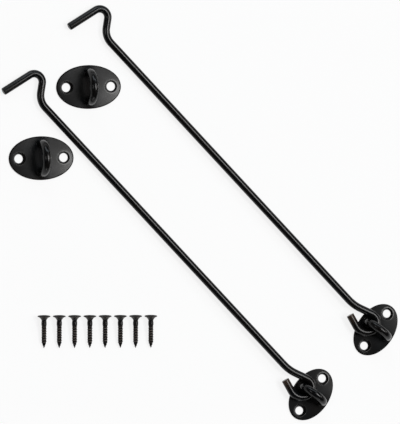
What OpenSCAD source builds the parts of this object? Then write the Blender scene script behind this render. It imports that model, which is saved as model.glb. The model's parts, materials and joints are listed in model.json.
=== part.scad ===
// Set of two hook latches laid out flat, each with its plate and staple, plus two catches and eight screws
// Millimetres, Z up, origin at the centre of the back of the first hook plate

/* [Hook wire] */
// Diameter of the round wire the hooks are bent from
wire_d = 5.2; // [4:0.1:5.8]
// Straight length of the shank between its two end bends
shank_len = 242.5; // [150:0.5:320]
// Radius on the wire's centre line where the shank turns into the neck
shoulder_r = 12.1; // [8:0.1:20]
// How far the wire turns at the shoulder
shoulder_turn = 53.2; // [40:0.1:65]
// Straight length of the neck between the shoulder and the hook bend
neck_len = 6.2; // [0.5:0.1:12]
// Radius on the wire's centre line of the hook bend
hook_r = 5.7; // [4.5:0.1:9]
// How far the wire turns at the hook bend
hook_turn = 130.8; // [110:0.1:150]
// Straight length of the hook's tip
tip_len = 21.2; // [12:0.1:30]
// Rounding at the end of the tip
tip_round = 0.9; // [0.3:0.1:1.6]

/* [Eye of the hook] */
// Play between the eye's inside and the staple's wire
eye_play = 1.15; // [0.8:0.05:2]
// How far the eye curls round at its own radius
eye_turn = 137; // [130:1:170]
// Length of the straight between the two parts of the curl
eye_flat = 0.6; // [0.3:0.1:2]
// How much wider the last part of the curl opens out
eye_flare = 2; // [0.5:0.1:4]
// How far the wider part of the curl turns
flare_turn = 79; // [45:1:85]
// Straight length of the eye's cut end
tail_len = 8.5; // [4:0.1:12]
// Chamfer on the eye's cut end
tail_chamfer = 0.3; // [0.1:0.05:0.8]
// Angle between the shank and the straight that enters the eye
entry_turn = 21.7; // [10:0.1:30]
// Length of the straight that enters the eye
entry_len = 9; // [7:0.1:16]
// Radius on the wire's centre line between that straight and the shank
entry_r = 27.6; // [10:0.1:32]
// Angle between the shank and the short axis of its plate, as it lies
hook_lie = 9.3; // [0:0.1:14]

/* [Hook plates] */
// Length of a hook plate's oval
hook_plate_l = 39.1; // [36:0.1:48]
// Width of a hook plate's oval
hook_plate_w = 26.4; // [26:0.1:32]
// Distance from the oval's end to the centre of a screw hole
hook_hole_inset = 5.9; // [5.4:0.1:7.5]
// Diameter of the wire of a hook plate's staple
hook_staple_d = 5.5; // [4.5:0.1:6]
// Distance from the oval's side to the outside of a staple leg
hook_staple_inset = 2.1; // [1.5:0.1:3]
// How much wider a hook plate's screw hole is than the screw
hook_hole_play = 1.9; // [0.4:0.1:2.2]
// Angle between the row's X axis and a hook plate's short axis
hook_plate_turn = 36.7; // [20:0.1:50]

/* [Catch plates] */
// Length of a catch plate's oval
catch_plate_l = 45.7; // [42:0.1:54]
// Width of a catch plate's oval
catch_plate_w = 29.7; // [27:0.1:36]
// Distance from the oval's end to the centre of a screw hole
catch_hole_inset = 7; // [5.6:0.1:8]
// Diameter of the wire of a catch plate's staple
catch_staple_d = 6; // [5:0.1:6.8]
// Distance from the oval's side to the outside of a staple leg
catch_staple_inset = 2.3; // [1.5:0.1:3]
// How much wider a catch plate's screw hole is than the screw
catch_hole_play = 2.4; // [0.4:0.1:2.6]
// Straight length of a catch staple's legs above the plate
catch_leg_h = 2.8; // [0.5:0.1:8]
// Angle between the row's X axis and a catch plate's long axis
catch_plate_turn = 1.6; // [0:0.1:6]

/* [All plates] */
// Thickness of a plate at its middle
plate_t = 2.3; // [2:0.1:3.2]
// How much lower the face is at the rim than at the middle
dome_rise = 0.7; // [0.2:0.05:1]
// Radius of the rounded rim, measured across the width
rim_r = 0.8; // [0.3:0.05:0.9]
// How much narrower the mouth of a screw hole is than the screw's head
countersink_gap = 1; // [0.2:0.1:1.4]
// Clearance round a staple leg in its plate
leg_fit = 0.04; // [0.02:0.01:0.1]
// Width of the riveted flare at a leg's foot
rivet_flare = 0.7; // [0.3:0.1:1]

/* [Screws] */
// Number of screws
screw_count = 8; // [8]
// Length of a screw over its head
screw_len = 22.1; // [16:0.1:30]
// Outside diameter of a screw's thread
screw_d = 3.6; // [3:0.1:4]
// Diameter of a screw's head
screw_head_d = 8.7; // [7.8:0.1:9.4]
// Height of the upright edge of a screw's head
screw_edge = 0.35; // [0.2:0.05:0.6]
// How steeply the underside of the head meets its edge
screw_head_sweep = 74; // [50:1:80]
// Length of a screw's point
screw_point = 4.6; // [3:0.1:6]
// Gap between the heads of neighbouring screws
screw_gap = 2.1; // [1:0.1:6]

/* [Layout] */
// Gap between the eye's wire and the plate under it
eye_gap = 0.3; // [0.2:0.05:0.6]
// Gap between the first hook and the catch on its left
first_catch_gap = 3.2; // [2:0.1:10]
// Gap between the first hook and the catch on its right
second_catch_gap = 10.0; // [4:0.1:14]
// Gap between the second hook and the catch on its left
second_hook_gap = 9.5; // [4:0.1:20]
// How far the second hook lies back along its shank, compared with the first
second_hook_back = 0.5; // [-8:0.1:8]
// Distance along the shank from the shoulder to the first catch
first_catch_back = 29.0; // [20:0.1:60]
// Distance along the shank from the shoulder to the second catch
second_catch_back = 17.5; // [8:0.1:50]
// Distance from the first hook plate to the last screw, leftwards
screw_row_left = 115; // [90:1:140]
// Distance from the first hook plate to the heads of the screws, upwards
screw_row_up = 53.9; // [40:0.1:60]
// How far each screw is turned on the floor, with its point to the right
screw_turn = 2.4; // [0:0.1:10]

/* [Hidden] */
$fn = 96;

// Number of sides on the screws, which are small
screw_sides = 48;
// Number of sides round a plate's oval, and round a whole turn of its dome's arc
plate_sides = 64;
dome_sides = 280;
rim_sides = 24;
// How far a cutting tool passes the face that it cuts
cut_past = 1;
// A bend is thicker than the straight wire by this much, and the straights run into it by the bite
bend_swell = 0.02;
bend_bite = 0.05;
black = [0.06, 0.06, 0.065];
black_wire = [0.08, 0.08, 0.085];
black_screw = [0.1, 0.1, 0.1];

// The eye lies level with the centre of its staple's arch, just clear of the plate
eye_r = hook_staple_d / 2 + eye_play + wire_d / 2;
eye_z = plate_t + eye_gap + wire_d / 2;
hook_arch_r = hook_plate_w / 2 - hook_staple_inset - hook_staple_d / 2;
catch_arch_r = catch_plate_w / 2 - catch_staple_inset - catch_staple_d / 2;
catch_arch_z = plate_t + catch_leg_h;

// A hook's path, as steps of [straight, bend radius, turn], left turns positive
shank_steps = [
    [entry_len, entry_r, -entry_turn],
    [shank_len, shoulder_r, -shoulder_turn],
    [neck_len, hook_r, hook_turn],
    [tip_len, 0, 0]
];
eye_steps = [
    [0, eye_r, -eye_turn],
    [eye_flat, eye_r + eye_flare, -flare_turn],
    [tail_len, 0, 0]
];

// Points of the path, from the eye's centre with X along the shank
function along(angle, length) = length * [cos(angle), sin(angle)];
function left_of(angle, length) = length * [-sin(angle), cos(angle)];
// End of a bend that starts at a point with a heading
function after_bend(point, heading, radius, turn) =
    let (side = sign(turn) * radius)
    point + left_of(heading, side) - left_of(heading + turn, side);
join_point = left_of(entry_turn, -eye_r);
shank_start = after_bend(join_point + along(entry_turn, entry_len), entry_turn, entry_r, -entry_turn);
shank_end = shank_start + [shank_len, 0];
shoulder_point = shank_end + [shoulder_r * tan(shoulder_turn / 2), 0];
neck_start = after_bend(shank_end, 0, shoulder_r, -shoulder_turn);
neck_end = neck_start + along(-shoulder_turn, neck_len);
tip_heading = hook_turn - shoulder_turn;
tip_start = after_bend(neck_end, -shoulder_turn, hook_r, hook_turn);
tip_end = tip_start + along(tip_heading, tip_len);

// The hook slopes down from its staple until its farthest point lies on the floor
function reach(point) = hook_arch_r + point[0] * cos(hook_lie) + point[1] * sin(hook_lie);
bend_reach = reach(neck_end) + hook_r;
hook_reach = max(reach(tip_end), reach(tip_start), bend_reach);
rest_slope = asin((eye_z - wire_d / 2) / hook_reach);

// Directions on the floor
shank_heading = 180 - hook_plate_turn - hook_lie;
back_along = along(shank_heading, -1);
beside = along(shank_heading - 90, 1);
eye_point = along(-hook_plate_turn, -hook_arch_r);
function turned(point, angle) =
    [point[0] * cos(angle) - point[1] * sin(angle), point[0] * sin(angle) + point[1] * cos(angle)];
shoulder_place = eye_point + turned(shoulder_point, shank_heading);

// Half the room that a catch plate takes across the shanks
across = shank_heading - 90 - catch_plate_turn;
catch_half = norm([catch_plate_l * cos(across), catch_plate_w * sin(across)]) / 2;
first_catch_place = shoulder_place + first_catch_back * back_along
    - (wire_d / 2 + first_catch_gap + catch_half) * beside;
second_catch_place = shoulder_place + second_catch_back * back_along
    + (wire_d / 2 + second_catch_gap + catch_half) * beside;
hook_pitch = wire_d + second_catch_gap + 2 * catch_half + second_hook_gap;
second_hook_place = hook_pitch * beside + second_hook_back * back_along;

// A screw lies on the lower corner of its head's edge and on its thread where the point starts
screw_body = screw_len - screw_point;
screw_lean = atan((screw_head_d - screw_d) / 2 / (screw_body - screw_edge));
screw_up = screw_head_d / 2 * cos(screw_lean) + screw_edge * sin(screw_lean);
head_sweep_r = (screw_head_d - screw_d) / 2 / (1 - cos(screw_head_sweep));

// Straight wire along X, run into the bends before and after it
module wire_straight(length, bite_before, bite_after) {
    translate([-bite_before, 0, 0])
        rotate([0, 90, 0])
            cylinder(d = wire_d, h = bite_before + length + bite_after);
}

// Bend that starts at the origin, heading along X
module wire_bend(radius, turn) {
    side = sign(turn);
    translate([0, side * radius, 0])
        rotate([0, 0, turn > 0 ? -90 : 90 + turn])
            rotate_extrude(angle = abs(turn))
                translate([radius, 0])
                    circle(d = wire_d + bend_swell);
}

// Straights and bends in order, with the end piece given as the child
module wire_path(steps, index = 0) {
    if (index < len(steps)) {
        length = steps[index][0];
        radius = steps[index][1];
        turn = steps[index][2];
        bend_end = after_bend([length, 0], 0, radius, turn);
        if (length > 0) wire_straight(length, bend_bite, turn != 0 ? bend_bite : 0);
        if (turn != 0) translate([length, 0, 0]) wire_bend(radius, turn);
        translate([bend_end[0], bend_end[1], 0])
            rotate([0, 0, turn])
                wire_path(steps, index + 1) children();
    } else {
        children();
    }
}

// Rounded end for the tip
module rounded_end() {
    rotate([0, 90, 0])
        rotate_extrude() {
            square([wire_d / 2 - tip_round, tip_round]);
            intersection() {
                translate([wire_d / 2 - tip_round, 0]) circle(r = tip_round);
                translate([wire_d / 2 - tip_round, 0]) square(tip_round);
            }
        }
}

// Cut end with a small chamfer
module cut_end() {
    rotate([0, 90, 0])
        cylinder(d1 = wire_d, d2 = wire_d - 2 * tail_chamfer, h = tail_chamfer);
}

// One hook, with the centre of its eye at the origin and its shank along X
module hook_wire() {
    translate([join_point[0], join_point[1], 0]) {
        rotate([0, 0, entry_turn])
            wire_path(shank_steps) rounded_end();
        rotate([0, 0, entry_turn + 180])
            wire_path(eye_steps) cut_end();
    }
}

// Half section of a plate across its width
module plate_section(half_width) {
    edge_x = half_width - rim_r;
    edge_t = plate_t - dome_rise;
    dome_r = (edge_x * edge_x + dome_rise * dome_rise) / 2 / dome_rise;
    square([half_width, edge_t - rim_r]);
    intersection() {
        translate([0, plate_t - dome_r]) circle(r = dome_r, $fn = dome_sides);
        square([edge_x, plate_t]);
    }
    translate([edge_x, edge_t - rim_r])
        intersection() {
            circle(r = rim_r, $fn = rim_sides);
            square(rim_r);
        }
}

// Oval plate with countersunk holes on its long axis Y and staple holes on its short axis X
module oval_plate(length, width, hole_inset, hole_d, arch_r, staple_d) {
    mouth_d = screw_head_d - countersink_gap;
    sink_h = (mouth_d - hole_d) / 2;
    hole_y = length / 2 - hole_inset;
    // Height of the face where the middle of a screw hole is
    face_z = plate_t - dome_rise * pow(2 * hole_y / length, 2);
    difference() {
        hull()
            scale([1, length / width, 1])
                rotate_extrude($fn = plate_sides)
                    plate_section(width / 2);
        for (side = [-1, 1]) {
            translate([0, side * hole_y, -cut_past])
                cylinder(d = hole_d, h = plate_t + 2 * cut_past);
            translate([0, side * hole_y, face_z - sink_h])
                cylinder(d1 = hole_d, d2 = mouth_d + 2 * cut_past, h = sink_h + cut_past);
            translate([side * arch_r, 0, -cut_past])
                cylinder(d = staple_d + 2 * leg_fit, h = plate_t + 2 * cut_past);
            translate([side * arch_r, 0, -leg_fit])
                cylinder(d1 = staple_d + 2 * rivet_flare + 2 * leg_fit, d2 = staple_d + 2 * leg_fit, h = rivet_flare);
        }
    }
}

// Staple with its legs riveted through the plate, standing in the XZ plane
module staple(arch_r, arch_z, staple_d) {
    translate([0, 0, arch_z])
        rotate([90, 0, 0])
            rotate_extrude(angle = 180)
                translate([arch_r, 0])
                    circle(d = staple_d);
    for (side = [-1, 1])
        translate([side * arch_r, 0, 0]) {
            cylinder(d = staple_d, h = arch_z);
            cylinder(d1 = staple_d + 2 * rivet_flare - 2 * leg_fit, d2 = staple_d, h = rivet_flare - leg_fit);
        }
}

// Screw standing on its point's end of the Z axis, with its head's top at the origin
module screw_shape() {
    rotate_extrude($fn = screw_sides) {
        square([screw_head_d / 2, screw_edge]);
        square([screw_d / 2, screw_body]);
        difference() {
            square([screw_head_d / 2, screw_edge + head_sweep_r * sin(screw_head_sweep)]);
            translate([screw_d / 2 + head_sweep_r, screw_edge + head_sweep_r * sin(screw_head_sweep)])
                circle(r = head_sweep_r, $fn = 2 * screw_sides);
        }
        polygon([[0, screw_body], [screw_d / 2, screw_body], [0, screw_len]]);
    }
}

// Sets a hook or its plate in its place on the floor
module hook_place(index) {
    place = index == 1 ? [0, 0] : second_hook_place;
    translate([place[0], place[1], 0])
        rotate([0, 0, -hook_plate_turn])
            children();
}

// Sets a catch in its place on the floor, with its long axis turned from Y to X
module catch_place(index) {
    place = index == 1 ? first_catch_place : second_catch_place;
    translate([place[0], place[1], 0])
        rotate([0, 0, catch_plate_turn - 90])
            children();
}

module hook_rod(index) {
    color(black_wire)
        hook_place(index)
            translate([0, 0, eye_z])
                rotate([0, -rest_slope, 0])
                    translate([-hook_arch_r, 0, 0])
                        rotate([0, 0, 180 - hook_lie])
                            hook_wire();
}

module hook_plate(index) {
    color(black)
        hook_place(index)
            oval_plate(hook_plate_l, hook_plate_w, hook_hole_inset, screw_d + hook_hole_play,
                hook_arch_r, hook_staple_d);
}

module hook_staple(index) {
    color(black_wire)
        hook_place(index)
            staple(hook_arch_r, eye_z, hook_staple_d);
}

module catch_plate(index) {
    color(black)
        catch_place(index)
            oval_plate(catch_plate_l, catch_plate_w, catch_hole_inset, screw_d + catch_hole_play,
                catch_arch_r, catch_staple_d);
}

module catch_staple(index) {
    color(black_wire)
        catch_place(index)
            staple(catch_arch_r, catch_arch_z, catch_staple_d);
}

module screw(index) {
    step = screw_head_d + screw_gap;
    color(black_screw)
        translate([-screw_row_left - (screw_count - index) * step, screw_row_up, screw_up])
            rotate([90 + screw_lean, 0, screw_turn])
                screw_shape();
}

for (index = [1, 2]) {
    hook_rod(index);
    hook_plate(index);
    hook_staple(index);
    catch_plate(index);
    catch_staple(index);
}
for (index = [1 : screw_count])
    screw(index);
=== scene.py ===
"""Looks of a set of two wire door hooks, their staple plates, two catches and eight screws.

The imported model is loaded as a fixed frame, in metres. Each piece below stands in the place of one of its
nodes.
"""

import cmath
import json
import math

import bmesh
import bpy
from mathutils import Matrix, Vector


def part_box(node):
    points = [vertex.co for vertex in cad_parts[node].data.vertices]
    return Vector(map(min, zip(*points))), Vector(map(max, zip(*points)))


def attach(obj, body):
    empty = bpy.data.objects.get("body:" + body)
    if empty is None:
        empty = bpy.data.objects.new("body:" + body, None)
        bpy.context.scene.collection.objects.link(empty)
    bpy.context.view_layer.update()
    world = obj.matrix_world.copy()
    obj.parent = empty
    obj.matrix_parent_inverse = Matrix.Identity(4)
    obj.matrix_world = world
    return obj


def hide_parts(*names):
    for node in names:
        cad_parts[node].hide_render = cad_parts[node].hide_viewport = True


bl_info = {
    "name": "Door hook latch set",
    "version": (1, 0, 0),
    "blender": (4, 5, 0),
    "location": "3D Viewport > Sidebar > Latch set",
    "description": "Builds wire door hooks with their staple plates, catches and screws",
    "category": "Object",
}

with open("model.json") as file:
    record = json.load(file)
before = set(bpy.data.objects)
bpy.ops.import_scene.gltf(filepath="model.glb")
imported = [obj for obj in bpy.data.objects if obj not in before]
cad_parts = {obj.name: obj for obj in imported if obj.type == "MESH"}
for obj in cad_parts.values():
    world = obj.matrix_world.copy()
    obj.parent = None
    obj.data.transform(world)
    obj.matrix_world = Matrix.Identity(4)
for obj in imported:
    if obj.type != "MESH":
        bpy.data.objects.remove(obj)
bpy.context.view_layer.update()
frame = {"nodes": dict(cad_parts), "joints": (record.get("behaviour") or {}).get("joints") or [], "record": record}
MOUNTS = {mount["name"]: mount for mount in frame["record"]["mounts"]}
JOINTS = {joint["name"]: joint for joint in frame["joints"]}
SCREWS = sum(1 for name in frame["nodes"] if name.startswith("screw_"))

# How far a piece's box may be from its node's box
BOX_SLACK = 0.0003
# Mesh steps round a wire, a plate, a hole and a screw, and for each radian of a bend
WIRE_SIDES = 40
PLATE_SIDES = 128
HOLE_SIDES = 64
SCREW_SIDES = 36
BEND_STEPS = 16
# Mesh steps from a plate's middle to its rim, down a staple's fillet, and for each turn of a thread
FACE_STEPS = 20
FILLET_STEPS = 5
THREAD_STEPS = 16
SHARP_ANGLE = math.radians(35)
# Heights between which the holes in a plate are cut
CUT_LOW = -0.001
CUT_HIGH = 0.004

# Index of refraction of the coat, depth of its orange peel, and how much its broad swell adds to that
COAT_IOR = 1.325
PEEL_DEPTH = 0.00003
SWELL_SHARE = 1.4
# Factors on the coat's red, green and blue where it is cool and where it is warm
COOL_TINT = (0.85, 0.97, 1.12)
WARM_TINT = (1.25, 1.02, 0.88)
# Scale of the noise that breaks up thin coat
PATCH_SCALE = 900.0
# Thin coat, which also paints highlights at a countersink's lip and a screw head's edge: at a plate's rim, at the
# lip of its countersinks, on a staple's legs and at a screw head's edge
RIM_THIN = 0.4
LIP_THIN_HALO = 0.2
LEG_THIN = 0.35
HEAD_GLINT = 0.5

# What a dullness of 1 adds to the roughness
DULL_ROUGHNESS = 0.65
# Dullness, where less than 0 is shinier: all over each kind of plate, in a countersink, at the rim, round a
# staple's foot, on a hook's tip, on a screw head's top and between the turns of a thread
PLATE_DULL = {"hook": 0.46, "catch": 0.03}
SINK_DULL = -0.55
RIM_DULL = 0.8
FOOT_DULL = 0.9
TIP_DULL = 0.2
HEAD_DULL = 0.95
ROOT_DULL = 0.95
# Dullness that handling has rubbed off a plate: along it, towards two of its corners and round its holes
RUBBED_ALONG = 0.32
RUBBED_CORNER = 0.37
RUBBED_HOLE = 0.25
# Where thin coat and dullness start near a plate's rim, as shares of the way to it
THIN_START = 0.94
DULL_START = 0.97
# How far marks reach: round a countersink's lip, round its hole, from a staple's feet and along a hook's tip
LIP_REACH = 0.0005
HOLE_REACH = 0.0012
FOOT_REACH = 0.007
TIP_REACH = 0.006
# How far the stain of a cut end reaches, and over what it fades, as shares of the wire
STAIN_REACH = 0.62
STAIN_FADE = 0.1

# How much steeper than the face the rim of a plate starts, in degrees
RIM_STEP = 8
# Underside of a screw's head, as shares of the head's radius and depths, and the ends of the plain neck
HEAD_FUNNEL = (
    (0.91, 0.00045), (0.8, 0.00068), (0.665, 0.00115), (0.535, 0.00175), (0.43, 0.0024), (0.37, 0.0031),
)
NECK_DEPTHS = (0.0044, 0.0055)
# Half the crest of a thread and the width of its flank, as shares of a turn
CREST = 0.06
FLANK = 0.14
# How much of its height the thread loses towards the point
POINT_LOSS = 0.65

# Lamps: name, degrees to the right of straight above, degrees up the picture, size, watts and colour
LAMPS = (
    ("key", 24, 6, (3.6, 2.8), 340.0, (1.0, 0.995, 0.985)),
    ("low right", 34, -10, (1.6, 1.8), 110.0, (1.0, 0.995, 0.985)),
    ("top", 14, 49, (8.0, 1.6), 165.0, (0.84, 0.93, 1.0)),
    ("back", -32, 66, (3.2, 2.4), 85.0, (0.84, 0.93, 1.0)),
    ("left", -45, 0, (2.0, 2.4), 45.0, (1.0, 1.0, 1.0)),
    ("front", -10, -76, (4.0, 1.6), 45.0, (1.0, 1.0, 1.0)),
    ("right", 60, 5, (1.6, 1.6), 65.0, (1.0, 0.96, 0.92)),
)
# Half the floor's width, and how far it is under the set
FLOOR_REACH = 3.0
FLOOR_DROP = 0.0002
# Between these heights, as shares of straight up, the white backdrop that shiny surfaces show fades out
BACKDROP_TOP = (0.04, 0.12)
# Height of the picture in pixels, and the camera's sensor in millimetres
PICTURE_HEIGHT = 424
SENSOR = 36.0


# ---- Sizes and colours that a user may change ----
def length(name, description, default):
    """A size in metres."""
    return bpy.props.FloatProperty(
        name=name, description=description, default=default, min=0.0, precision=5, unit="LENGTH",
        subtype="DISTANCE",
    )


def turn(name, description, degrees):
    """An angle, written here in degrees."""
    return bpy.props.FloatProperty(
        name=name, description=description, default=math.radians(degrees), subtype="ANGLE"
    )


def share(name, description, default):
    """A number from 0 to 1."""
    return bpy.props.FloatProperty(
        name=name, description=description, default=default, min=0.0, max=1.0, subtype="FACTOR"
    )


def colour(name, description, default):
    """A colour as linear red, green and blue."""
    return bpy.props.FloatVectorProperty(
        name=name, description=description, default=default, size=3, min=0.0, max=1.0, subtype="COLOR"
    )


class HookSizes(bpy.types.PropertyGroup):
    """Sizes of the bent wire hooks."""

    wire: length("Wire", "Diameter of the round wire", 0.0052)
    shank: length("Shank", "Straight length of the shank", 0.2425)
    shoulder_radius: length("Shoulder radius", "Radius of the bend from shank to neck", 0.0121)
    shoulder_turn: turn("Shoulder turn", "How far the wire turns at the shoulder", 53.2)
    neck: length("Neck", "Straight length of the neck", 0.0062)
    hook_radius: length("Hook radius", "Radius of the hook bend", 0.0057)
    hook_turn: turn("Hook turn", "How far the wire turns at the hook bend", 130.8)
    tip: length("Tip", "Straight length of the tip", 0.0212)
    tip_round: length("Tip rounding", "Rounding at the end of the tip", 0.0009)
    eye_radius: length("Eye radius", "Radius of the eye on the wire's centre line", 0.0065)
    eye_turn: turn("Eye turn", "How far the eye curls at its own radius", 137)
    eye_flat: length("Eye flat", "Straight between the two parts of the curl", 0.0006)
    eye_flare: length("Eye flare", "How much wider the last part of the curl is", 0.002)
    flare_turn: turn("Flare turn", "How far the wider part of the curl turns", 79)
    tail: length("Tail", "Straight length of the cut end", 0.0085)
    tail_chamfer: length("Tail chamfer", "Chamfer on the cut end", 0.0003)
    entry_turn: turn("Entry turn", "Angle between the shank and the straight into the eye", 21.7)
    entry: length("Entry", "Length of the straight into the eye", 0.009)
    entry_radius: length("Entry radius", "Radius between that straight and the shank", 0.0276)
    lie: turn("Lie", "Angle between the shank and the short axis of its plate", 9.3)


class PlateSizes(bpy.types.PropertyGroup):
    """Sizes of the four oval plates."""

    hook_length: length("Hook plate length", "Length of a hook plate", 0.0391)
    hook_width: length("Hook plate width", "Width of a hook plate", 0.0264)
    hook_turn: turn("Hook plate turn", "Angle between the X axis and a hook plate's short axis", 36.7)
    catch_length: length("Catch plate length", "Length of a catch plate", 0.0457)
    catch_width: length("Catch plate width", "Width of a catch plate", 0.0297)
    catch_turn: turn("Catch plate turn", "Angle between the X axis and a catch plate's long axis", 1.6)
    thickness: length("Thickness", "Thickness at the middle", 0.0023)
    rise: length("Dome", "How much lower the face is at the rim", 0.0007)
    crown: bpy.props.FloatProperty(
        name="Crown", default=2.0, min=2.0, max=6.0,
        description="How late the face falls off: 2 is a plain dome, more is flatter in the middle",
    )
    rim: length("Rim radius", "Radius of the rounded rim", 0.0008)
    mouth: length("Countersink", "Diameter of a countersink at the face", 0.0086)
    lip: length("Lip", "Rounding where a countersink meets the face", 0.00015)


class StapleSizes(bpy.types.PropertyGroup):
    """Sizes of the four staples."""

    hook_wire: length("Hook staple wire", "Diameter of a hook plate's staple", 0.0055)
    hook_arch: length("Hook staple arch", "Radius of its arch on the centre line", 0.00835)
    catch_wire: length("Catch staple wire", "Diameter of a catch plate's staple", 0.006)
    catch_arch: length("Catch staple arch", "Radius of its arch on the centre line", 0.00955)
    catch_leg: length("Catch staple leg", "Height of its arch's centre over the back of the plate", 0.0051)
    flare: length("Rivet flare", "Width of the riveted flare at a leg's foot", 0.0007)
    fit: length("Fit", "Clearance round a leg in its plate", 0.00004)
    fillet: length("Coat fillet", "Coat that fills the corner between leg and plate", 0.0005)


class ScrewSizes(bpy.types.PropertyGroup):
    """Sizes of the countersunk screws."""

    total: length("Length", "Length over the head", 0.0221)
    head: length("Head", "Diameter of the head", 0.0087)
    edge: length("Head edge", "Height of the head's upright edge", 0.00035)
    thread: length("Thread", "Outside diameter of the thread", 0.0036)
    core: length("Core", "Diameter of the thread's core", 0.003)
    neck: length("Neck", "Diameter of the plain neck", 0.0036)
    thread_start: length("Thread start", "Depth at which the thread begins", 0.0066)
    point: length("Point", "Length of the point", 0.0046)
    pitch: length("Pitch", "Distance from one turn of the thread to the next", 0.0017)
    recess: length("Recess", "Width of the cross recess over its arms", 0.0046)
    recess_arm: length("Recess arm", "Thickness of an arm of the cross recess", 0.0011)
    recess_depth: length("Recess depth", "Depth of the cross recess", 0.0024)
    row_turn: turn("Turn", "How far each screw is turned on the floor", 2.4)


class Finish(bpy.types.PropertyGroup):
    """Colours and gloss of the finishes."""

    coat: colour("Coat", "Black powder coat", (0.0032, 0.0032, 0.0034))
    # The thin coat's colour also paints the highlight round each countersink's lip
    warm: colour("Thin coat", "Coat where it is thin over steel edges", (0.045, 0.026, 0.016))
    cut: colour("Cut steel", "Stained steel of a wire's cut end", (0.075, 0.049, 0.034))
    screw: colour("Screw", "Blackened steel of the screws", (0.005, 0.0045, 0.0042))
    # Bare steel; its colour on the thread's crests and the head's edge also paints highlights there
    bare_and_glint: colour("Bare steel", "Steel that shows on the crests of the thread", (0.17, 0.14, 0.12))
    wire_roughness: share("Wire roughness", "Roughness of the coat on wire", 0.2)
    plate_roughness: share("Plate roughness", "Roughness of the coat on plates", 0.5)
    screw_roughness: share("Screw roughness", "Roughness of the screws", 0.35)
    grain: length("Grain", "Size of the powder coat's grain", 0.0009)
    screw_grain: length("Screw grain", "Size of the grain on the screws", 0.0005)
    peel: share("Peel", "Strength of the powder coat's orange peel", 0.3)
    screw_peel: share("Screw peel", "Strength of the screws' uneven skin", 0.5)


class Studio(bpy.types.PropertyGroup):
    """Camera, floor and lamps."""

    distance: length("Camera distance", "From the camera to the middle of the view", 9.0)
    tilt: turn("Camera tilt", "How far the camera leans from straight above, to the left", 17)
    pixel: length("Pixel", "Size of a pixel at the middle of the view", 0.00068)
    middle: bpy.props.FloatVectorProperty(
        name="Middle", description="Point of the floor in the middle of the view",
        default=(-0.07879, 0.12441, 0.0), size=3, unit="LENGTH", subtype="XYZ",
    )
    floor: colour("Floor", "Pale floor", (0.9, 0.9, 0.9))
    floor_glow: share("White floor", "How much of the floor shows as plain white", 0.85)
    world: share("World light", "Light from all round", 0.025)
    lamp_distance: length("Lamp distance", "From the lamps to the middle of the view", 8.0)


SETTINGS = (
    ("latch_hook", HookSizes),
    ("latch_plate", PlateSizes),
    ("latch_staple", StapleSizes),
    ("latch_screw", ScrewSizes),
    ("latch_finish", Finish),
    ("latch_studio", Studio),
)


# ---- Shader node groups and materials ----
def new_group(name, inputs, outputs):
    """An empty shader node group with named sockets, and its input and output nodes."""
    group = bpy.data.node_groups.new(name, "ShaderNodeTree")
    for socket, kind, value in inputs:
        made = group.interface.new_socket(socket, in_out="INPUT", socket_type=kind)
        if value is not None:
            made.default_value = value
    for socket, kind in outputs:
        group.interface.new_socket(socket, in_out="OUTPUT", socket_type=kind)
    return group, group.nodes.new("NodeGroupInput"), group.nodes.new("NodeGroupOutput")


def add(tree, kind, links=(), **values):
    """A node with its properties set, and its inputs set or linked by name or number."""
    node = tree.nodes.new(kind)
    for key, value in values.items():
        setattr(node, key, value)
    for key, value in links:
        if isinstance(value, bpy.types.NodeSocket):
            tree.links.new(value, node.inputs[key])
        else:
            node.inputs[key].default_value = value
    return node


def maths(tree, operation, *values, clamp=False):
    """The result of a Math node."""
    node = add(tree, "ShaderNodeMath", list(enumerate(values)), operation=operation, use_clamp=clamp)
    return node.outputs[0]


def remap(tree, value, low, high, to_low, to_high):
    """A value moved from one range to another and kept inside it."""
    node = add(tree, "ShaderNodeMapRange", [(0, value), (1, low), (2, high), (3, to_low), (4, to_high)])
    return node.outputs[0]


def powder_group():
    """Powder coat: the fine orange peel of its skin and the change of its gloss."""
    group, given, out = new_group(
        "Powder coat",
        [
            ("Vector", "NodeSocketVector", None),
            ("Grain", "NodeSocketFloat", 0.0009),
            ("Roughness", "NodeSocketFloat", 0.4),
            ("Roughness change", "NodeSocketFloat", 0.24),
            ("Dull", "NodeSocketFloat", 0.0),
        ],
        [("Height", "NodeSocketFloat"), ("Roughness", "NodeSocketFloat"), ("Cloud", "NodeSocketFloat")],
    )

    def noise(fineness, detail):
        """Noise with a fineness of 1 for the size of the grain."""
        scale = maths(group, "DIVIDE", fineness, given.outputs["Grain"])
        links = [("Vector", given.outputs["Vector"]), ("Scale", scale), ("Detail", detail)]
        return add(group, "ShaderNodeTexNoise", links).outputs[0]

    peel, swell, cloud = noise(1.0, 2.0), noise(0.27, 1.0), noise(0.07, 3.0)
    height = maths(group, "ADD", peel, maths(group, "MULTIPLY", swell, SWELL_SHARE))
    change = maths(group, "MULTIPLY", maths(group, "SUBTRACT", cloud, 0.5), given.outputs["Roughness change"])
    even = maths(group, "ADD", given.outputs["Roughness"], change)
    dull = maths(group, "MULTIPLY", given.outputs["Dull"], DULL_ROUGHNESS)
    group.links.new(height, out.inputs["Height"])
    group.links.new(maths(group, "ADD", even, dull, clamp=True), out.inputs["Roughness"])
    group.links.new(cloud, out.inputs["Cloud"])
    return group


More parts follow.
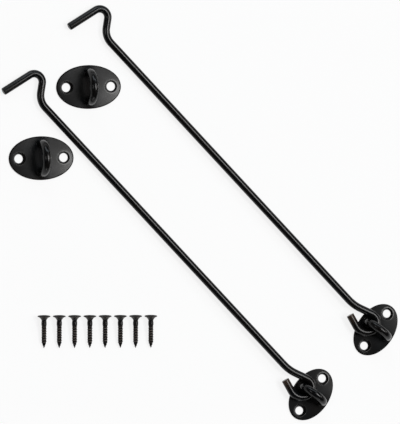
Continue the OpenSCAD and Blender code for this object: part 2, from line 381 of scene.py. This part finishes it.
def thin_group():
    """Where the coat is thin, or where a highlight is painted: a piece's own mask of edges, broken up by a noise.
    """
    group, given, out = new_group(
        "Thin coat",
        [
            ("Vector", "NodeSocketVector", None),
            ("Edge", "NodeSocketFloat", 0.0),
            ("Amount", "NodeSocketFloat", 1.0),
        ],
        [("Mask", "NodeSocketFloat")],
    )
    # The noise leaves from a third to all of the mask
    links = [("Vector", given.outputs["Vector"]), ("Scale", PATCH_SCALE), ("Detail", 3.0)]
    patchy = remap(group, add(group, "ShaderNodeTexNoise", links).outputs[0], 0.3, 0.7, 0.35, 1.0)
    near = maths(group, "POWER", given.outputs["Edge"], 1.6)
    broken = maths(group, "MULTIPLY", near, patchy)
    mask = maths(group, "MULTIPLY", broken, given.outputs["Amount"], clamp=True)
    group.links.new(mask, out.inputs["Mask"])
    return group


GROUPS = {}
MATERIALS = {}


def group_of(name):
    """A node group, built once."""
    if name not in GROUPS:
        GROUPS[name] = {"powder": powder_group, "thin": thin_group}[name]()
    return GROUPS[name]


def coated(name, base, edge, roughness, grain, peel, amount):
    """Black coat on steel, with its peel, its cloudy gloss and its own colour where it is thin, which also paints
    some highlights.
    """
    made = bpy.data.materials.new(name)
    made.use_nodes = True
    tree = made.node_tree
    shader = tree.nodes["Principled BSDF"]
    place = add(tree, "ShaderNodeTexCoord").outputs["Object"]

    def marked(attribute):
        """A measure that mark() has written at the vertices."""
        node = add(tree, "ShaderNodeAttribute", attribute_name=attribute, attribute_type="GEOMETRY")
        return node.outputs["Fac"]

    def blend(first, second, factor):
        """Two colours mixed by a factor."""
        links = [("A", first), ("B", second), ("Factor", factor)]
        return add(tree, "ShaderNodeMix", links, data_type="RGBA").outputs["Result"]

    def tinted(tint):
        """The coat's colour with a tint."""
        return (*(value * factor for value, factor in zip(base, tint)), 1.0)

    links = [("Vector", place), ("Grain", grain), ("Roughness", roughness), ("Dull", marked("dull"))]
    powder = add(tree, "ShaderNodeGroup", links, node_tree=group_of("powder")).outputs
    links = [("Vector", place), ("Edge", marked("thin_coat_and_glint")), ("Amount", amount)]
    thin = add(tree, "ShaderNodeGroup", links, node_tree=group_of("thin")).outputs
    coat = blend(tinted(COOL_TINT), tinted(WARM_TINT), remap(tree, powder["Cloud"], 0.35, 0.65, 0.0, 1.0))
    tree.links.new(blend(coat, (*edge, 1.0), thin["Mask"]), shader.inputs["Base Color"])
    tree.links.new(powder["Roughness"], shader.inputs["Roughness"])
    shader.inputs["IOR"].default_value = COAT_IOR
    links = [("Strength", peel), ("Distance", PEEL_DEPTH), ("Height", powder["Height"])]
    tree.links.new(add(tree, "ShaderNodeBump", links).outputs["Normal"], shader.inputs["Normal"])
    return made


def material(slot):
    """The material of one of the record's slots, made once."""
    if slot not in MATERIALS:
        look = bpy.context.scene.latch_finish
        coat, warm = tuple(look.coat), tuple(look.warm)
        # Name, coat, colour where it is thin or a highlight is painted, roughness, grain, peel, and how much of
        # that shows
        looks = {
            "hook_wire": (
                "Coated hook wire", coat, tuple(look.cut), look.wire_roughness, look.grain, look.peel, 1.0,
            ),
            "plate": ("Coated plate", coat, warm, look.plate_roughness, look.grain, look.peel, 0.8),
            "staple": ("Coated staple", coat, warm, look.wire_roughness, look.grain, look.peel, 0.8),
            "screw": (
                "Blackened screw", tuple(look.screw), tuple(look.bare_and_glint), look.screw_roughness,
                look.screw_grain, look.screw_peel, 1.0,
            ),
        }
        MATERIALS[slot] = coated(*looks[slot])
    return MATERIALS[slot]


# ---- Mesh helpers ----
def edges_in(geometry):
    """The edges in a bmesh operator's result."""
    return [item for item in geometry if isinstance(item, bmesh.types.BMEdge)]


def verts_in(geometry):
    """The vertices in a bmesh operator's result."""
    return [item for item in geometry if isinstance(item, bmesh.types.BMVert)]


def polyline(shape, points):
    """A chain of edges through points, made by extruding its first vertex."""
    last = shape.verts.new(points[0])
    edges = []
    for point in points[1:]:
        made = bmesh.ops.extrude_vert_indiv(shape, verts=[last])
        last = made["verts"][0]
        last.co = Vector(point)
        edges += made["edges"]
    return edges


def ring(shape, radius, sides, matrix):
    """A circle of edges, placed by a matrix."""
    made = bmesh.ops.create_circle(shape, cap_ends=False, segments=sides, radius=radius, matrix=matrix)
    return list({edge for vert in made["verts"] for edge in vert.link_edges})


def pull(shape, edges, step=(0, 0, 0)):
    """Extrudes a ring of edges by a vector, and gives the new ring."""
    made = bmesh.ops.extrude_edge_only(shape, edges=edges)["geom"]
    bmesh.ops.translate(shape, vec=step, verts=verts_in(made))
    return edges_in(made)


def set_ring(edges, centre_x, radius, height):
    """Gives a level ring of edges a radius and a height round a centre on the X axis."""
    for vert in {vert for edge in edges for vert in edge.verts}:
        flat = Vector((vert.co.x - centre_x, vert.co.y)).normalized() * radius
        vert.co = Vector((centre_x + flat.x, flat.y, height))


def bend(shape, edges, centre, axis, angle):
    """Spins a ring of edges about an axis, and gives the last ring."""
    steps = max(3, math.ceil(abs(angle) * BEND_STEPS))
    made = bmesh.ops.spin(
        shape, geom=edges, cent=centre, axis=axis, dvec=(0, 0, 0), angle=angle, steps=steps,
        use_merge=False, use_duplicate=False,
    )
    return edges_in(made["geom_last"])


def revolve(shape, points, sides):
    """Spins a half section in the XZ plane all the way round Z."""
    edges = polyline(shape, [(x, 0.0, z) for x, z in points])
    verts = list({vert for edge in edges for vert in edge.verts})
    bmesh.ops.spin(
        shape, geom=verts + edges, cent=(0, 0, 0), axis=(0, 0, 1), dvec=(0, 0, 0), angle=math.tau,
        steps=sides, use_merge=True, use_duplicate=False,
    )
    bmesh.ops.remove_doubles(shape, verts=shape.verts, dist=1e-7)


def soften(shape, edges, width, segments):
    """Bevels edges with the profile of a round."""
    bmesh.ops.bevel(
        shape, geom=edges, offset=width, offset_type="OFFSET", affect="EDGES", segments=segments, profile=0.5,
        material=-1, clamp_overlap=False,
    )


def arc(centre_x, centre_z, radius, start, end, steps):
    """Points on an arc in the XZ plane, angles in degrees from +X towards +Z."""
    angles = [math.radians(start + (end - start) * step / steps) for step in range(steps + 1)]
    return [(centre_x + radius * math.cos(angle), centre_z + radius * math.sin(angle)) for angle in angles]


def clamped(value):
    """A value kept from 0 to 1."""
    return min(1.0, max(0.0, value))


def mark(shape, name, measure):
    """Writes a measure from -1 to 1 at each vertex, such as how thin or how dull the coat is there."""
    layer = shape.verts.layers.float.new(name)
    for vert in shape.verts:
        vert[layer] = min(1.0, max(-1.0, measure(vert.co)))


def finished(shape, name, node, body, slot, matrix):
    """Closes a bmesh into an object in a node's place, and stops the script if their boxes differ."""
    bmesh.ops.transform(shape, matrix=matrix, verts=shape.verts)
    bmesh.ops.remove_doubles(shape, verts=shape.verts, dist=1e-7)
    bmesh.ops.recalc_face_normals(shape, faces=shape.faces)
    mesh = bpy.data.meshes.new(name)
    shape.to_mesh(mesh)
    shape.free()
    mesh.shade_smooth()
    mesh.set_sharp_from_angle(angle=SHARP_ANGLE)
    made = bpy.data.objects.new(name, mesh)
    bpy.context.scene.collection.objects.link(made)
    mesh.materials.append(material(slot))
    low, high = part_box(node)
    for axis in range(3):
        least = min(vert.co[axis] for vert in mesh.vertices)
        most = max(vert.co[axis] for vert in mesh.vertices)
        if abs(least - low[axis]) > BOX_SLACK or abs(most - high[axis]) > BOX_SLACK:
            node_span = f"{node} from {low[axis]:.5f} to {high[axis]:.5f}"
            raise RuntimeError(f"{name}: {'XYZ'[axis]} from {least:.5f} to {most:.5f}, but {node_span}")
    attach(made, body)
    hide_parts(node)


def cut(shape, cutters):
    """Takes closed shapes out of a shape with a Boolean, and gives the result as a new bmesh."""
    work = []
    for index, source in enumerate([shape, *cutters]):
        bmesh.ops.recalc_face_normals(source, faces=source.faces)
        mesh = bpy.data.meshes.new(f"work_{index}")
        source.to_mesh(mesh)
        source.free()
        made = bpy.data.objects.new(f"work_{index}", mesh)
        bpy.context.scene.collection.objects.link(made)
        work.append(made)
    for cutter in work[1:]:
        step = work[0].modifiers.new("cut", "BOOLEAN")
        step.operation = "DIFFERENCE"
        step.solver = "EXACT"
        step.object = cutter
    bpy.context.view_layer.update()
    result = bpy.data.meshes.new_from_object(work[0].evaluated_get(bpy.context.evaluated_depsgraph_get()))
    after = bmesh.new()
    after.from_mesh(result)
    for made in work:
        mesh = made.data
        bpy.data.objects.remove(made)
        bpy.data.meshes.remove(mesh)
    bpy.data.meshes.remove(result)
    return after


def face_height(plate, out):
    """Height of a plate's face, where out is the share of the way from its middle to its edge."""
    return plate.thickness - plate.rise * min(1.0, abs(out)) ** plate.crown


# ---- Places ----
def hook_plate_place(index):
    """Where a hook plate lies, with its short axis along X in its own frame."""
    spot = Vector(MOUNTS[f"hook_plate_{index}_back"]["pos_m"])
    angle = -bpy.context.scene.latch_plate.hook_turn
    return Matrix.Translation(spot) @ Matrix.Rotation(angle, 4, "Z")


def catch_plate_place(index):
    """Where a catch plate lies, with its short axis along X in its own frame."""
    spot = Vector(MOUNTS[f"catch_plate_{index}_back"]["pos_m"])
    angle = bpy.context.scene.latch_plate.catch_turn - math.radians(90)
    return Matrix.Translation(spot) @ Matrix.Rotation(angle, 4, "Z")


# Where the two kinds of plate lie, and the bodies that they are on
KINDS = {"hook": (hook_plate_place, "hook_base"), "catch": (catch_plate_place, "catch")}


def hook_steps(size):
    """A hook from tail to tip: each straight, the radius of the bend after it and its turn to the left."""
    return [
        (size.tail + size.tail_chamfer, size.eye_radius + size.eye_flare, size.flare_turn),
        (size.eye_flat, size.eye_radius, size.eye_turn),
        (size.entry, size.entry_radius, -size.entry_turn),
        (size.shank, size.shoulder_radius, -size.shoulder_turn),
        (size.neck, size.hook_radius, size.hook_turn),
        (size.tip + size.tip_round, 0.0, 0.0),
    ]


def step_along(point, heading, step):
    """Follows a straight and its bend from a point, a complex number.

    It gives the straight's end, the bend's centre and end, and the heading after it.
    """
    straight, radius, angle = step
    point += cmath.rect(straight, heading)
    if not angle:
        return point, point, point, heading
    side = math.copysign(radius, angle)
    centre = point + 1j * side * cmath.exp(1j * heading)
    return point, centre, centre - 1j * side * cmath.exp(1j * (heading + angle)), heading + angle


def hook_start(size):
    """The end of the tail and its heading towards the eye, with the eye's centre at the origin."""
    join = cmath.rect(size.eye_radius, size.entry_turn - math.pi / 2)
    point, heading = 0j, 0.0
    for step in hook_steps(size)[:2]:
        _, _, point, heading = step_along(point, heading, step)
    angle = size.entry_turn - heading
    return join - point * cmath.exp(1j * angle), angle


def hook_place(index):
    """Where a hook lies: its eye round the staple's arch, and its far end down on the floor."""
    size = bpy.context.scene.latch_hook
    joint = JOINTS[f"hook_{index}_swing"]
    arch = bpy.context.scene.latch_staple.hook_arch
    point, heading = hook_start(size)
    reaches = []
    for step in hook_steps(size):
        start, _, point, heading = step_along(point, heading, step)
        reaches.append((point * cmath.exp(-1j * size.lie)).real)
        if step[0] == size.neck:
            # The hook bend reaches further than its ends
            reaches.append((start * cmath.exp(-1j * size.lie)).real + size.hook_radius)
    slope = math.asin((joint["pos_m"][2] - size.wire / 2) / (arch + max(reaches)))
    return (
        Matrix.Translation(Vector(joint["pos_m"]))
        @ Matrix.Rotation(-bpy.context.scene.latch_plate.hook_turn, 4, "Z")
        @ Matrix.Rotation(-slope, 4, "Y")
        @ Matrix.Translation((-arch, 0, 0))
        @ Matrix.Rotation(math.pi - size.lie, 4, "Z")
    )


# ---- Pieces ----
def hook_shape(size):
    """One hook bent from round wire, with a rounded tip and a cropped tail."""
    shape = bmesh.new()
    tail_end, heading = hook_start(size)
    cut_end = Vector((tail_end.real, tail_end.imag, 0))
    upright = Matrix.Rotation(heading, 4, "Z") @ Matrix.Rotation(math.pi / 2, 4, "Y")
    edges = ring(shape, size.wire / 2, WIRE_SIDES, Matrix.Translation(cut_end) @ upright)
    first = edges
    # A ring near the cut end, where its stain stops
    stain = cmath.rect(size.tail / 8, heading)
    edges = pull(shape, edges, (stain.real, stain.imag, 0))
    point = tail_end + stain
    steps = hook_steps(size)
    steps[0] = (steps[0][0] - abs(stain), *steps[0][1:])
    for step in steps:
        start, centre, end, after = step_along(point, heading, step)
        if step[0]:
            way = start - point
            edges = pull(shape, edges, (way.real, way.imag, 0))
        if step[2]:
            edges = bend(shape, edges, (centre.real, centre.imag, 0), (0, 0, 1), step[2])
        point, heading = end, after
    bmesh.ops.contextual_create(shape, geom=first)
    bmesh.ops.contextual_create(shape, geom=edges)
    soften(shape, edges, size.tip_round, 6)
    soften(shape, first, size.tail_chamfer, 3)
    tip_end = Vector((point.real, point.imag, 0))

    def near_cut(spot):
        """The stain of the cut end."""
        return max(0.0, (STAIN_REACH * size.wire - (spot - cut_end).length) / (STAIN_FADE * size.wire))

    def dullness(spot):
        """All of it on the tip, and none from its bend on."""
        return TIP_DULL * clamped((size.tip - (spot - tip_end).length) / TIP_REACH)

    mark(shape, "thin_coat_and_glint", near_cut)
    mark(shape, "dull", dullness)
    return shape


class LATCH_OT_hooks(bpy.types.Operator):
    """Bends the two hooks from round wire"""

    bl_idname = "latch.hooks"
    bl_label = "Hooks"

    def execute(self, context):
        for index in (1, 2):
            shape = hook_shape(context.scene.latch_hook)
            node, body = f"hook_rod_{index}", f"hook_{index}"
            finished(shape, f"hook_wire_{index}", node, body, "hook_wire", hook_place(index))
        return {"FINISHED"}


def plate_blank(size, length_over, width):
    """An oval plate without holes: a domed face, a rounded rim and a softened back edge."""
    half = width / 2
    flat = half - size.rim
    steps = [step / FACE_STEPS for step in range(FACE_STEPS + 1)]
    face = [(flat * step, face_height(size, step)) for step in steps]
    # The face's slope at its edge, from where the rim's arc goes on steeper
    slope = math.degrees(math.atan(size.crown * size.rise / flat))
    rim = arc(flat, size.thickness - size.rise - size.rim, size.rim, 90 - slope - RIM_STEP, 0, 6)
    under = size.rim * 0.25
    foot = arc(half - under, under, under, 0, -90, 3)
    shape = bmesh.new()
    revolve(shape, face + rim + foot + [(half * 0.5, 0.0), (0.0, 0.0)], PLATE_SIDES)
    bmesh.ops.scale(shape, vec=(1, length_over / width, 1), verts=shape.verts)
    return shape


def sink_cutter(size, radius, face):
    """Cuts a screw hole, its countersink and the small lip where that meets the face."""
    mouth, lip = size.mouth / 2, size.lip
    start = face - (mouth - radius)
    hole = [(0.0, CUT_LOW), (radius, CUT_LOW), (radius, start - 0.0001), (radius + 0.00004, start)]
    slant = lip * math.sin(math.pi / 4)
    over = arc(mouth - lip * 0.35 + slant, face - lip * 0.35 - slant, lip, 135, 95, 6)
    # Past the lip the cutter rises clear of the face
    reach = over[-1][0] + 0.0009
    clear = [(reach, over[-1][1] + 0.0003), (reach, CUT_HIGH), (0.0, CUT_HIGH)]
    cutter = bmesh.new()
    revolve(cutter, hole + over + clear, HOLE_SIDES)
    return cutter


def leg_cutter(radius, flare):
    """Cuts the hole for a staple's leg, which flares at the back for the riveted foot."""
    wide = radius + flare - CUT_LOW
    cutter = bmesh.new()
    outline = [(0.0, CUT_LOW), (wide, CUT_LOW), (radius, flare), (radius, CUT_HIGH), (0.0, CUT_HIGH)]
    revolve(cutter, outline, WIRE_SIDES)
    return cutter


def plate_shape(kind, holes_apart, hole_radius):
    """One oval plate of a kind, with two countersunk holes and two holes for a staple's legs."""
    size, staple = bpy.context.scene.latch_plate, bpy.context.scene.latch_staple
    length_over, width = getattr(size, f"{kind}_length"), getattr(size, f"{kind}_width")
    arch, wire = getattr(staple, f"{kind}_arch"), getattr(staple, f"{kind}_wire")
    cutters = []
    for side in (-1, 1):
        sink = sink_cutter(size, hole_radius, face_height(size, holes_apart / length_over))
        bmesh.ops.translate(sink, vec=(0, side * holes_apart / 2, 0), verts=sink.verts)
        leg = leg_cutter(wire / 2 + staple.fit, staple.flare)
        bmesh.ops.translate(leg, vec=(side * arch, 0, 0), verts=leg.verts)
        cutters += [sink, leg]
    shape = cut(plate_blank(size, length_over, width), cutters)

    def shares(spot):
        """How far a spot is on its way from the middle to the rim, over the plate's length and width."""
        return spot.y / (length_over / 2), spot.x / (width / 2)

    def past_mouth(spot):
        """How far a spot is outside the mouth of the nearest countersink."""
        return math.hypot(spot.x, abs(spot.y) - holes_apart / 2) - size.mouth / 2

    def near_edge(spot):
        """Thin coat on the rim, less so on its underside, and round the countersinks, where it also paints the
        light halo of a highlight on the lip.
        """
        rim = (math.hypot(*shares(spot)) - THIN_START) / (1.0 - THIN_START)
        if spot.z <= (size.thickness - size.rise) * 0.35:
            rim *= 0.3
        # Round each countersink's lip the mask also paints a highlight's light halo
        lip = 1.0 - abs(past_mouth(spot)) / LIP_REACH
        return max(0.0, RIM_THIN * rim, LIP_THIN_HALO * lip)

    def dullness(spot):
        """How dull the coat is, with the parts that handling has rubbed shinier."""
        along, across = shares(spot)
        if past_mouth(spot) < 0.0001:
            return SINK_DULL
        if math.hypot(along, across) > DULL_START:
            return RIM_DULL
        near_hole = max(0.0, 1.0 - past_mouth(spot) / HOLE_REACH)
        near_foot = max(0.0, 1.0 - abs(spot.y) / FOOT_REACH)
        rubbed = RUBBED_ALONG * along + RUBBED_CORNER * along * across + RUBBED_HOLE * near_hole
        return PLATE_DULL[kind] - rubbed + FOOT_DULL * near_foot * near_foot

    mark(shape, "thin_coat_and_glint", near_edge)
    mark(shape, "dull", dullness)
    return shape


class LATCH_OT_plates(bpy.types.Operator):
    """Presses the four oval plates"""

    bl_idname = "latch.plates"
    bl_label = "Plates"

    def execute(self, context):
        for kind, (place, body) in KINDS.items():
            for index in (1, 2):
                node = f"{kind}_plate_{index}"
                dims = MOUNTS[f"{node}_screws"]["dims"]
                shape = plate_shape(kind, dims["pcd_mm"] / 1000, dims["hole_r_mm"] / 1000)
                finished(shape, f"{kind}_oval_{index}", node, f"{body}_{index}", "plate", place(index))
        return {"FINISHED"}


def staple_shape(kind):
    """One staple of a kind: an arch on two legs, with riveted feet and the coat's fillet round each leg."""
    size, plate = bpy.context.scene.latch_staple, bpy.context.scene.latch_plate
    arch, radius = getattr(size, f"{kind}_arch"), getattr(size, f"{kind}_wire") / 2
    top = JOINTS["hook_1_swing"]["pos_m"][2] if kind == "hook" else size.catch_leg
    face = face_height(plate, arch / (getattr(plate, f"{kind}_width") / 2))
    # Radius and height of each ring down a leg: the coat's fillet, the leg in the plate, and its riveted foot
    rings = []
    for step in range(FILLET_STEPS + 1):
        angle = math.pi / 2 * step / FILLET_STEPS
        wide = radius + size.fillet * (1 - math.cos(angle))
        rings.append((wide, face + size.fillet * (1 - math.sin(angle))))
    rivet = size.flare - size.fit
    foot = radius + rivet
    rings += [(wide, face - 0.0005), (radius, face - 0.0006)]
    rings += [(radius, rivet), (foot, 0.00008), (foot * 0.985, 0.0)]
    shape = bmesh.new()
    first = ring(shape, radius, WIRE_SIDES, Matrix.Translation((arch, 0, top)))
    last = bend(shape, first, (0, 0, top), (0, -1, 0), math.pi)
    for centre, loop in ((arch, first), (-arch, last)):
        for wide, height in rings:
            loop = pull(shape, loop)
            set_ring(loop, centre, wide, height)
        bmesh.ops.contextual_create(shape, geom=loop)
    mark(shape, "thin_coat_and_glint", lambda spot: LEG_THIN if spot.z < face else 0.0)
    return shape


class LATCH_OT_staples(bpy.types.Operator):
    """Bends the four staples and rivets them to their plates"""

    bl_idname = "latch.staples"
    bl_label = "Staples"

    def execute(self, context):
        for kind, (place, body) in KINDS.items():
            for index in (1, 2):
                shape = staple_shape(kind)
                node = f"{kind}_staple_{index}"
                finished(shape, f"{kind}_arch_{index}", node, f"{body}_{index}", "staple", place(index))
        return {"FINISHED"}


def recess_cutter(size):
    """Cuts the cross recess, which narrows to half its width at the bottom."""
    arm, reach, above = size.recess_arm / 2, size.recess / 2, 0.0005
    outline = [(reach, -arm), (reach, arm), (arm, arm), (arm, reach), (-arm, reach), (-arm, arm)]
    outline += [(-x, -y) for x, y in outline]
    cutter = bmesh.new()
    corners = [cutter.verts.new((x, y, -above)) for x, y in outline]
    face = bmesh.ops.contextual_create(cutter, geom=corners)["faces"][0]
    bottom = verts_in(bmesh.ops.extrude_face_region(cutter, geom=[face])["geom"])
    bmesh.ops.translate(cutter, vec=(0, 0, above + size.recess_depth), verts=bottom)
    bmesh.ops.scale(cutter, vec=(0.5, 0.5, 1.0), verts=bottom)
    return cutter


def screw_shape(size, spin):
    """One countersunk wood screw, its head's top at the origin and its point along Z."""
    head, neck, core = size.head / 2, size.neck / 2, size.core / 2
    points = [(0.0, 0.0), (head - 0.0001, 0.0), (head, 0.0001), (head, size.edge)]
    points += [(head * wide, depth) for wide, depth in HEAD_FUNNEL]
    points += [(neck, depth) for depth in NECK_DEPTHS]
    # The neck narrows to the core over twice this length, from this far before the thread
    run_in = 0.0006
    taper_start = size.total - size.point
    end = size.total - 0.0001
    depth = size.thread_start - run_in
    while depth < end:
        slim = max(0.06, 1.0 - (max(0.0, depth - taper_start) / size.point) ** 1.25)
        ease = clamped((depth - size.thread_start + run_in) / (2 * run_in))
        points.append(((neck + (core - neck) * ease) * slim, depth))
        depth += size.pitch / THREAD_STEPS
    points.append((0.0, size.total))
    shape = bmesh.new()
    revolve(shape, points, SCREW_SIDES)
    # Each ring below the neck is twisted along with the thread, so that its crest follows the mesh
    rise = size.thread / 2 - core
    for vert in shape.verts:
        depth, radius = vert.co.z, math.hypot(vert.co.x, vert.co.y)
        if depth < size.thread_start - 0.0005 or radius < 1e-5:
            continue
        angle = math.atan2(vert.co.y, vert.co.x)
        tooth = max(0.0, 1.0 - max(0.0, abs(angle / math.tau % 1.0 - 0.5) - CREST) / FLANK)
        fade = clamped((depth - size.thread_start) / size.pitch)
        lower = 1.0 - POINT_LOSS * max(0.0, depth - taper_start) / size.point
        if depth < end - 0.0003:
            radius += rise * tooth * fade * lower
        angle += math.tau * depth / size.pitch
        vert.co.x, vert.co.y = radius * math.cos(angle), radius * math.sin(angle)
    shape = cut(shape, [recess_cutter(size)])
    bmesh.ops.rotate(shape, cent=(0, 0, 0), matrix=Matrix.Rotation(spin, 3, "Z"), verts=shape.verts)

    def crest(spot):
        """How far a spot stands out of the core, as a share of the thread's height."""
        return (math.hypot(spot.x, spot.y) - core) / rise if spot.z > size.thread_start else 0.0

    def bare_and_glint(spot):
        """Bare steel on the crests of the thread and some at the head's edge, which is also a painted highlight:
        light rings along the thread and a light edge on the head.
        """
        # A light line round the head's edge: a painted highlight, with some bare steel
        edge = 1.0 - abs(math.hypot(spot.x, spot.y) - head) / 0.0004 if spot.z < 0.0006 else 0.0
        return max(0.0, HEAD_GLINT * edge, crest(spot))

    def dullness(spot):
        """Dull on the head's top and between the turns of the thread."""
        if spot.z < 0.00005:
            return HEAD_DULL
        return ROOT_DULL * (1.0 - crest(spot)) if spot.z > size.thread_start else 0.0

    mark(shape, "thin_coat_and_glint", bare_and_glint)
    mark(shape, "dull", dullness)
    return shape


def screw_place(index):
    """Where a screw lies: on its head's edge and on its thread, with its point to the bottom."""
    size = bpy.context.scene.latch_screw
    lean = math.atan((size.head - size.thread) / 2 / (size.total - size.point - size.edge))
    up = size.head / 2 * math.cos(lean) + size.edge * math.sin(lean)
    low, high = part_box(f"screw_{index}")
    forward = -math.cos(lean) * math.cos(size.row_turn)
    top = high.y - size.head / 2 * math.sqrt(1 - forward * forward)
    return (
        Matrix.Translation(((low.x + high.x) / 2, top, up))
        @ Matrix.Rotation(size.row_turn, 4, "Z")
        @ Matrix.Rotation(math.pi / 2 + lean, 4, "X")
    )


class LATCH_OT_screws(bpy.types.Operator):
    """Turns the countersunk screws and lays them in a row"""

    bl_idname = "latch.screws"
    bl_label = "Screws"

    def execute(self, context):
        for index in range(1, SCREWS + 1):
            # Each screw has rolled to a turn of its own
            spin = math.radians(137.5 * index)
            shape = screw_shape(context.scene.latch_screw, spin)
            node = f"screw_{index}"
            finished(shape, f"wood_screw_{index}", node, f"loose_screw_{index}", "screw", screw_place(index))
        return {"FINISHED"}


# ---- Stage ----
def lamp(name, right, up, size, power, tint):
    """A soft area lamp that looks at the middle of the set, with the values of a row of LAMPS."""
    studio = bpy.context.scene.latch_studio
    data = bpy.data.lights.new(name, "AREA")
    data.shape = "RECTANGLE"
    data.size, data.size_y = size
    data.energy = power
    data.color = tint
    made = bpy.data.objects.new(name, data)
    bpy.context.scene.collection.objects.link(made)
    way = Vector((math.tan(math.radians(right)), math.tan(math.radians(up)), 1.0)).normalized()
    made.location = Vector(studio.middle) + way * studio.lamp_distance
    made.rotation_mode = "QUATERNION"
    made.rotation_quaternion = way.to_track_quat("Z", "Y")
    made.visible_camera = False


def seen_rays(tree):
    """1 for rays from the camera and those that a shiny or clear surface sends on, and the node behind it."""
    path = add(tree, "ShaderNodeLightPath")
    seen = maths(tree, "MAXIMUM", path.outputs["Is Camera Ray"], path.outputs["Is Glossy Ray"])
    return maths(tree, "MAXIMUM", seen, path.outputs["Is Transmission Ray"]), path


def floor_material(studio):
    """Pale floor that shows nearly white and keeps a faint shadow, and is clear from below."""
    made = bpy.data.materials.new("Pale floor")
    made.use_nodes = True
    tree = made.node_tree
    tree.nodes.clear()
    seen, path = seen_rays(tree)
    plain = add(tree, "ShaderNodeBsdfDiffuse", [("Color", (*studio.floor, 1.0))])
    white = add(tree, "ShaderNodeEmission", [("Color", (1, 1, 1, 1)), ("Strength", 1.0)])
    mix = add(tree, "ShaderNodeMixShader")
    tree.links.new(maths(tree, "MULTIPLY", seen, studio.floor_glow), mix.inputs[0])
    tree.links.new(plain.outputs[0], mix.inputs[1])
    tree.links.new(white.outputs[0], mix.inputs[2])
    clear = add(tree, "ShaderNodeBsdfTransparent")
    below = add(tree, "ShaderNodeNewGeometry").outputs["Backfacing"]
    side = add(tree, "ShaderNodeMixShader")
    tree.links.new(maths(tree, "MULTIPLY", below, path.outputs["Is Camera Ray"]), side.inputs[0])
    tree.links.new(mix.outputs[0], side.inputs[1])
    tree.links.new(clear.outputs[0], side.inputs[2])
    out = add(tree, "ShaderNodeOutputMaterial")
    tree.links.new(side.outputs[0], out.inputs["Surface"])
    return made


class LATCH_OT_stage(bpy.types.Operator):
    """Lays the floor and sets the lamps, the world and the camera"""

    bl_idname = "latch.stage"
    bl_label = "Stage"

    def execute(self, context):
        scene = context.scene
        studio = scene.latch_studio
        scene.view_settings.view_transform = "Standard"
        shape = bmesh.new()
        bmesh.ops.create_grid(shape, x_segments=8, y_segments=8, size=FLOOR_REACH)
        bmesh.ops.translate(shape, vec=(studio.middle[0], studio.middle[1], -FLOOR_DROP), verts=shape.verts)
        mesh = bpy.data.meshes.new("floor")
        shape.to_mesh(mesh)
        shape.free()
        mesh.materials.append(floor_material(studio))
        floor = bpy.data.objects.new("floor", mesh)
        scene.collection.objects.link(floor)

        world = bpy.data.worlds.new("Studio")
        scene.world = world
        world.use_nodes = True
        tree = world.node_tree
        seen, path = seen_rays(tree)
        ray = add(tree, "ShaderNodeTexCoord").outputs["Generated"]
        upward = add(tree, "ShaderNodeSeparateXYZ", [("Vector", ray)]).outputs["Z"]
        low = remap(tree, upward, *BACKDROP_TOP, 1.0, 0.0)
        shown = maths(tree, "MAXIMUM", path.outputs["Is Camera Ray"], maths(tree, "MULTIPLY", seen, low))
        back = tree.nodes["Background"]
        back.inputs["Color"].default_value = (1, 1, 1, 1)
        strength = add(tree, "ShaderNodeMix", data_type="FLOAT")
        strength.inputs["A"].default_value = studio.world
        strength.inputs["B"].default_value = 1.0
        tree.links.new(shown, strength.inputs["Factor"])
        tree.links.new(strength.outputs[0], back.inputs["Strength"])

        for values in LAMPS:
            lamp(*values)

        data = bpy.data.cameras.new("camera")
        data.sensor_width = SENSOR
        data.lens = studio.distance / studio.pixel * SENSOR / PICTURE_HEIGHT
        data.clip_start, data.clip_end = 0.5, 60.0
        camera = bpy.data.objects.new("camera", data)
        scene.collection.objects.link(camera)
        right = Vector((math.cos(studio.tilt), 0, math.sin(studio.tilt)))
        back_way = Vector((-math.sin(studio.tilt), 0, math.cos(studio.tilt)))
        turned = Matrix((right, back_way.cross(right), back_way)).transposed()
        camera.rotation_mode = "QUATERNION"
        camera.rotation_quaternion = turned.to_quaternion()
        camera.location = Vector(studio.middle) + back_way * studio.distance
        scene.camera = camera
        return {"FINISHED"}


class LATCH_PT_panel(bpy.types.Panel):
    """Lists the steps that build the set, and its sizes and finishes"""

    bl_idname = "LATCH_PT_panel"
    bl_label = "Latch set"
    bl_space_type = "VIEW_3D"
    bl_region_type = "UI"
    bl_category = "Latch set"

    def draw(self, context):
        for operator in OPERATORS:
            self.layout.operator(operator.bl_idname)
        for name, kind in SETTINGS:
            box = self.layout.box()
            box.label(text=kind.__name__)
            for prop in kind.__annotations__:
                box.prop(getattr(context.scene, name), prop)


OPERATORS = (LATCH_OT_hooks, LATCH_OT_plates, LATCH_OT_staples, LATCH_OT_screws, LATCH_OT_stage)


def register():
    for name, kind in SETTINGS:
        bpy.utils.register_class(kind)
        setattr(bpy.types.Scene, name, bpy.props.PointerProperty(type=kind))
    for kind in (*OPERATORS, LATCH_PT_panel):
        bpy.utils.register_class(kind)


def unregister():
    for kind in (LATCH_PT_panel, *reversed(OPERATORS)):
        bpy.utils.unregister_class(kind)
    for name, kind in reversed(SETTINGS):
        delattr(bpy.types.Scene, name)
        bpy.utils.unregister_class(kind)


def main():
    """Builds the whole set and its stage."""
    register()
    bpy.ops.latch.hooks()
    bpy.ops.latch.plates()
    bpy.ops.latch.staples()
    bpy.ops.latch.screws()
    bpy.ops.latch.stage()
    bpy.context.view_layer.update()


if __name__ == "__main__":
    main()
